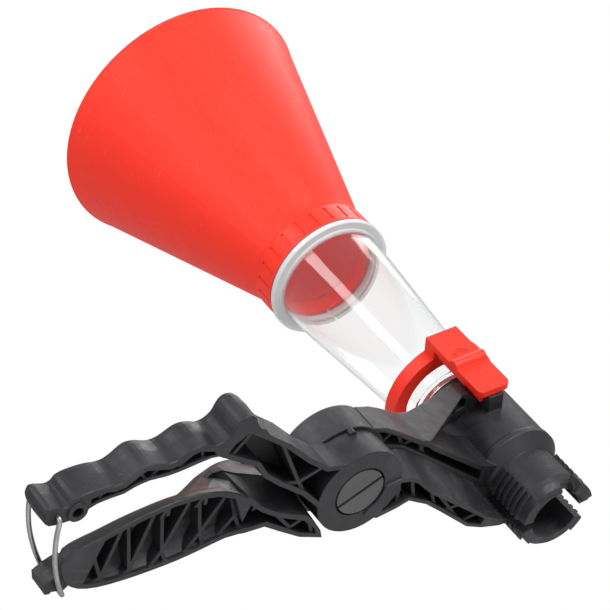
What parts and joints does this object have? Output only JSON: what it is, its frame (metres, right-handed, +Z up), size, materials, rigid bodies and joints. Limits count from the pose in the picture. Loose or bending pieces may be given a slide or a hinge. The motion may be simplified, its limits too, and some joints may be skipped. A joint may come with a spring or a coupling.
{
  "type": "oil filling funnel with neck clamp",
  "caption": "Wide funnel cone on a clear tapered tube, held in a filler neck by split jaws on spread-open plier handles, with a thumb slide and a wire bail that latches the handles.",
  "frame": {"origin": "centre of the nozzle's open end, where the split jaws enter the filler neck", "axes": "+Z up along the funnel axis to the mouth; +X from the funnel axis to the handle pivot; the finger handle is on +Y"},
  "size_m": [0.353, 0.142, 0.3452],
  "materials": {
    "red_plastic": "orange-red polypropylene, fine satin",
    "red_slide": "orange-red polypropylene, fine satin",
    "gasket_rubber": "dark grey rubber",
    "seal_rubber": "black rubber",
    "clear_plastic": "clear plastic, glossy",
    "black_plastic": "charcoal glass-filled plastic, semi-matt, scuffed",
    "black_lever": "charcoal glass-filled plastic, semi-matt, scuffed",
    "black_pin": "blackened steel, satin",
    "washer_steel": "plain steel",
    "clip_steel": "spring steel",
    "spring_steel": "spring wire, oiled",
    "steel_wire": "drawn steel wire, dull"
  },
  "bodies": {
    "palm_side": {"lever_b": "black_plastic", "tube": "clear_plastic", "neck_seal": "seal_rubber", "cone": "red_plastic", "cone_gasket": "gasket_rubber", "pivot_pin": "black_pin", "pivot_clip": "clip_steel", "pivot_washer": "washer_steel", "pivot_spring": "spring_steel"},
    "finger_lever": {"lever_a": "black_lever"},
    "wire_bail": {"bail": "steel_wire"},
    "thumb_slide": {"slide": "red_slide"}
  },
  "joints": [
    {"name": "handle_pivot", "type": "hinge", "parent": "palm_side", "child": "finger_lever", "pos_m": [0.117, 0, 0], "axis": [0, 0, 1], "range_deg": [0, 8]},
    {"name": "bail_pivot", "type": "hinge", "parent": "finger_lever", "child": "wire_bail", "pos_m": [0.275, -0.0175, 0], "axis": [0, 0, 1], "range_deg": [0, 160]},
    {"name": "slide_travel", "type": "slide", "parent": "palm_side", "child": "thumb_slide", "axis": [0, 0, 1], "range_m": [-0.006, 0]}
  ],
  "couplings": [
    {"joint": "bail_pivot", "follows": "handle_pivot", "ratio": 20}
  ]
}
